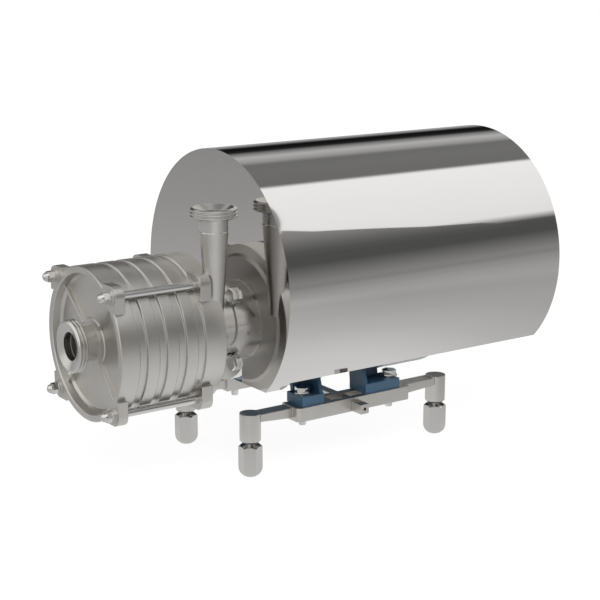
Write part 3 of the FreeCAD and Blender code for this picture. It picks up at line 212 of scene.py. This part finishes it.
def cast_steel(color, roughness, edge=CAST_EDGE):
    """Bead-blasted stainless casting: a fine even grain, a little blotchy."""
    def sockets(paint):
        blotch = paint.noise(scale=28, detail=4)
        grain = paint.noise(scale=1500, detail=2)
        height = grain * 0.7 + paint.noise(scale=420, detail=2) * 0.6
        return {"Metallic": 1.0,
                "Base Color": paint.blend(blotch, tone(color, 0.88), tone(color, 1.1)),
                "Roughness": blotch * 0.1 + grain * 0.06 + (roughness - 0.08),
                "Normal": paint.bump(height, distance=0.00006, strength=0.6, edge=edge)}
    return sockets


def turned_steel(color, roughness, axis, spacing=0.0005):
    """Machined stainless steel with fine lines round one axis."""
    def sockets(paint):
        stretch = [12, 12, 12]
        stretch[axis] = 1 / spacing
        lines = paint.noise(scale=1, detail=3, stretch=tuple(stretch))
        blotch = paint.noise(scale=35, detail=3)
        return {"Metallic": 1.0,
                "Base Color": paint.blend(blotch, tone(color, 0.92), tone(color, 1.06)),
                "Roughness": lines * 0.12 + (roughness - 0.06),
                "Normal": paint.bump(lines, distance=0.00003, strength=0.5)}
    return sockets


def polished_steel(color, roughness):
    """Mirror-polished sheet or fittings: faint wiping marks and a very slight waviness."""
    def sockets(paint):
        wipe = paint.noise(scale=9, detail=4, stretch=(1, 6, 6))
        height = paint.noise(scale=14, detail=1)
        return {"Metallic": 1.0,
                "Base Color": paint.blend(wipe, tone(color, 0.985), tone(color, 1.015)),
                "Roughness": wipe * 0.03 + (roughness - 0.015),
                "Normal": paint.bump(height, distance=0.00002, strength=0.4)}
    return sockets


def metal_paint(color, roughness):
    """Sprayed enamel on a casting: orange peel, and a little dust in its colour."""
    def sockets(paint):
        blotch = paint.noise(scale=24, detail=4)
        peel = paint.noise(scale=700, detail=2)
        return {"Base Color": paint.blend(blotch, tone(color, 0.8), tone(color, 1.2)),
                "Roughness": blotch * 0.16 + (roughness - 0.08),
                "Coat Weight": blotch * 0.2 + 0.05,
                "Normal": paint.bump(peel, distance=0.00008, strength=0.5)}
    return sockets


def moulded(color, roughness):
    """Moulded plastic, rubber, carbon or ceramic with a fine matt grain."""
    def sockets(paint):
        blotch = paint.noise(scale=60, detail=3)
        grain = paint.noise(scale=1800, detail=2)
        return {"Base Color": paint.blend(blotch, tone(color, 0.8), tone(color, 1.25)),
                "Roughness": blotch * 0.1 + (roughness - 0.05),
                "Normal": paint.bump(grain, distance=0.00004, strength=0.5)}
    return sockets


def laminations(color, rust_color):
    """Stacked steel sheet, with the edge of each sheet showing as a line."""
    def sockets(paint):
        along = paint.along(paint.object_place(), "X")
        sheets = (along * (2 * math.pi / LAMINATION)).math("SINE")
        rust = paint.noise(scale=45, detail=4)
        return {"Metallic": 0.85,
                "Base Color": paint.blend(rust, tone(color, 0.8), (*rust_color, 1)),
                "Roughness": rust * 0.2 + 0.4,
                "Normal": paint.bump(sheets, distance=0.0001, strength=0.6)}
    return sockets


def wound_copper(color):
    """Varnished copper wire laid round the core, with painted shade in the grooves between the
    wires.
    """
    def sockets(paint):
        wires = paint.node("ShaderNodeTexWave", {"bands_direction": "X"}, {
            "Vector": paint.object_place(), "Scale": 190, "Distortion": 3.0, "Detail": 1.0})
        return {"Metallic": 0.9,
                # Painted shade: the colour darkens to half tone where the wire relief is low, in
                # the grooves.
                "Base Color": paint.blend(wires, tone(color, 0.5), tone(color, 1.15)),
                "Roughness": wires * 0.15 + 0.25,
                "Normal": paint.bump(wires, distance=0.0006, strength=0.8)}
    return sockets


FINISHES = {
    "casing_steel": cast_steel((0.60, 0.585, 0.56), 0.36),
    "polished_steel": polished_steel((0.66, 0.655, 0.64), 0.17),
    "union_steel": cast_steel((0.66, 0.65, 0.63), 0.26, UNION_EDGE),
    "adapter_steel": turned_steel((0.66, 0.655, 0.64), 0.2, axis=0),
    "screw_steel": polished_steel((0.64, 0.635, 0.625), 0.12),
    "shroud_steel": polished_steel((0.635, 0.625, 0.615), 0.045),
    "stay_steel": turned_steel((0.5, 0.5, 0.5), 0.4, axis=2),
    "frame_steel": cast_steel((0.58, 0.565, 0.54), 0.36),
    "foot_steel": polished_steel((0.5, 0.49, 0.475), 0.2),
    "impeller_steel": turned_steel((0.55, 0.55, 0.54), 0.25, axis=0),
    "shaft_steel": turned_steel((0.5, 0.5, 0.5), 0.25, axis=0),
    "bearing_steel": polished_steel((0.55, 0.55, 0.56), 0.15),
    "seal_rubber": moulded((0.02, 0.02, 0.02), 0.6),
    "seal_housing_steel": turned_steel((0.55, 0.55, 0.54), 0.25, axis=0),
    "seal_carbon": moulded((0.03, 0.03, 0.035), 0.3),
    "seal_ceramic": moulded((0.7, 0.68, 0.64), 0.2),
    "motor_paint": metal_paint((0.04, 0.10, 0.17), 0.42),
    "lamination_steel": laminations((0.25, 0.25, 0.26), (0.2, 0.15, 0.11)),
    "copper_winding": wound_copper((0.6, 0.26, 0.11)),
    "fan_plastic": moulded((0.03, 0.03, 0.032), 0.5),
    "cowl_paint": metal_paint((0.55, 0.57, 0.58), 0.45),
    "box_paint": metal_paint((0.04, 0.10, 0.17), 0.42),
    "gland_plastic": moulded((0.03, 0.03, 0.032), 0.4),
}
materials = {name: finish_material(name, sockets) for name, sockets in FINISHES.items()}
for part in frame["record"]["subparts"]:
    for slot in frame["nodes"][part["node"]].material_slots:
        slot.material = materials[part["material_slot"]]


def add_object(name, data):
    """Put a mesh, a lamp or the camera into the scene."""
    thing = bpy.data.objects.new(name, data)
    bpy.context.scene.collection.objects.link(thing)
    return thing


def add_mesh(name, mesh, material):
    """Turn a finished bmesh into an object of one material."""
    data = bpy.data.meshes.new(name)
    mesh.to_mesh(data)
    mesh.free()
    data.materials.append(material)
    return add_object(name, data)


def weld_bead(name, centre, axis, radius, width):
    """A thin weld seam round a tube, with the ripples of a hand-laid bead."""
    mesh = bmesh.new()
    bmesh.ops.create_circle(mesh, segments=10, radius=width / 2)
    bmesh.ops.scale(mesh, vec=(0.5, 1, 1), verts=mesh.verts)
    turn = Matrix.Rotation(math.pi / 2, 4, "X")
    bmesh.ops.transform(mesh, matrix=Matrix.Translation((radius, 0, 0)) @ turn, verts=mesh.verts)
    bmesh.ops.spin(mesh, geom=mesh.verts[:] + mesh.edges[:], cent=(0, 0, 0), axis=(0, 0, 1),
                   angle=2 * math.pi, steps=BEAD_STEPS, use_merge=True)
    for vertex in mesh.verts:
        angle = math.atan2(vertex.co.y, vertex.co.x)
        swell = 1 + RIPPLE_HEIGHT * math.cos(BEAD_RIPPLES * angle)
        vertex.co.x *= swell
        vertex.co.y *= swell
    lean = Vector((0, 0, 1)).rotation_difference(Vector(axis)).to_matrix().to_4x4()
    bmesh.ops.transform(mesh, matrix=Matrix.Translation(centre) @ lean, verts=mesh.verts)
    bmesh.ops.recalc_face_normals(mesh, faces=mesh.faces)
    for face in mesh.faces:
        face.smooth = True
    bead = add_mesh(name, mesh, materials["polished_steel"])
    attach(bead, "pump_body")


tube_low, tube_high = (Vector(corner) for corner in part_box("outlet_tube"))
tube_centre = (tube_low + tube_high) / 2
tube_radius = (tube_high.x - tube_low.x) / 2
weld_bead("outlet_lower_weld", (tube_centre.x, tube_centre.y, tube_low.z), (0, 0, 1),
          tube_radius, THIN_BEAD)
weld_bead("outlet_upper_weld", (tube_centre.x, tube_centre.y, tube_high.z), (0, 0, 1),
          tube_radius + OUTLET_LIP, WIDE_BEAD)
union_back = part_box("inlet_union")[1][0]
weld_bead("inlet_weld", (union_back, 0, SHAFT_HEIGHT), (1, 0, 0), INLET_NECK_RADIUS, WIDE_BEAD)


def floor_paper():
    """Paper that is white to the camera, and brightest near the pump in reflections."""
    material, paint = new_material("floor_paper")
    place = paint.object_place()
    from_middle = paint.node("ShaderNodeVectorMath", {"operation": "LENGTH"}, {0: place},
                             output="Value")
    from_pool = paint.node("ShaderNodeVectorMath", {"operation": "DISTANCE"},
                           {0: place, 1: POOL_PLACE}, output="Value")
    light = paint.blend(1.0, paint.ramp(from_middle * (1 / FLOOR_REACH), FLOOR_LIGHT),
                        paint.ramp(from_pool * (1 / POOL_REACH), POOL_LIGHT), mode="ADD")
    mirrored = paint.node("ShaderNodeEmission", {}, {"Color": light})
    lit = paint.node("ShaderNodeBsdfDiffuse", {}, {"Color": (0.8, 0.8, 0.8, 1)})
    shaded = paint.node("ShaderNodeBsdfDiffuse", {}, {"Color": (0.12, 0.12, 0.12, 1)})
    white = paint.node("ShaderNodeEmission", {}, {"Color": (1, 1, 1, 1), "Strength": 0.93})
    seen = paint.node("ShaderNodeAddShader", {}, {0: shaded, 1: white})
    by_mirror = paint.node("ShaderNodeLightPath", output="Is Glossy Ray")
    by_camera = paint.node("ShaderNodeLightPath", output="Is Camera Ray")
    surface = paint.mix(by_camera, paint.mix(by_mirror, lit, mirrored), seen)
    paint.node("ShaderNodeOutputMaterial", {}, {"Surface": surface})
    return material


mesh = bmesh.new()
bmesh.ops.create_circle(mesh, cap_ends=True, segments=96, radius=FLOOR_RADIUS)
add_mesh("floor", mesh, floor_paper())


def paint_studio(world):
    """Light in bands about the shaft, a bright wall past the inlet and a grey one past the fan."""
    world.use_nodes = True
    paint = Paint(world.node_tree)
    direction = paint.node("ShaderNodeTexCoord", output="Generated")
    along = paint.along(direction, "X")
    angle = (paint.along(direction, "Y") * -1).math("ARCTAN2", paint.along(direction, "Z"))
    studio = paint.ramp(angle * (0.5 / math.pi) + 0.5,
                        [(degrees / 360 + 0.5, light) for degrees, light in STUDIO])
    motor_wall = paint.clamp((along - MOTOR_WALL_FROM) * WALL_EDGE)
    studio = paint.blend(motor_wall, studio, MOTOR_WALL)
    inlet_wall = paint.clamp((along * -1 - INLET_WALL_FROM) * WALL_EDGE)
    studio = paint.blend(inlet_wall, studio, INLET_WALL)
    by_camera = paint.node("ShaderNodeLightPath", output="Is Camera Ray")
    background = paint.node("ShaderNodeBackground", {}, {
        "Color": paint.blend(by_camera, studio, (1, 1, 1, 1))})
    paint.node("ShaderNodeOutputWorld", {}, {"Surface": background})


world = bpy.data.worlds.new("studio")
bpy.context.scene.world = world
paint_studio(world)


def stage_card(name, corners, light):
    """A one-sided card far from the part, which only reflections see."""
    material, paint = new_material(name)
    height = paint.along(paint.object_place(), "Z")
    glow = paint.node("ShaderNodeEmission", {}, {
        "Color": paint.ramp((height - CARD_FOOT) * CARD_RISE, light)})
    back = paint.node("ShaderNodeNewGeometry", output="Backfacing")
    clear = paint.node("ShaderNodeBsdfTransparent")
    paint.node("ShaderNodeOutputMaterial", {}, {"Surface": paint.mix(back, glow, clear)})
    mesh = bmesh.new()
    mesh.faces.new([mesh.verts.new(corner) for corner in corners])
    card = add_mesh(name, mesh, material)
    card.visible_camera = False
    card.visible_diffuse = False
    card.visible_shadow = False
    card.visible_transmission = False


stage_card("grey_flag", GREY_CARD, GREY_LIGHT)
stage_card("dark_flag", DARK_CARD, DARK_LIGHT)

key_data = bpy.data.lights.new("key", "AREA")
key_data.shape = "RECTANGLE"
key_data.size = 2.4
key_data.size_y = 1.6
key_data.energy = 45
key = add_object("key", key_data)
key.location = (-1.2, -1.9, 2.2)
key.rotation_euler = (Vector((0, 0, 0.2)) - key.location).to_track_quat("-Z", "Y").to_euler()
key.visible_glossy = False

camera_data = bpy.data.cameras.new("camera")
camera_data.lens = 89.09
camera_data.sensor_width = 36
camera_data.clip_end = 50
camera = add_object("camera", camera_data)
camera.location = (-1.0801, -1.5609, 0.6446)
camera.rotation_euler = (math.radians(90 - 13.286), 0, math.radians(-35.061))
bpy.context.scene.camera = camera
bpy.context.scene.view_settings.view_transform = "Standard"
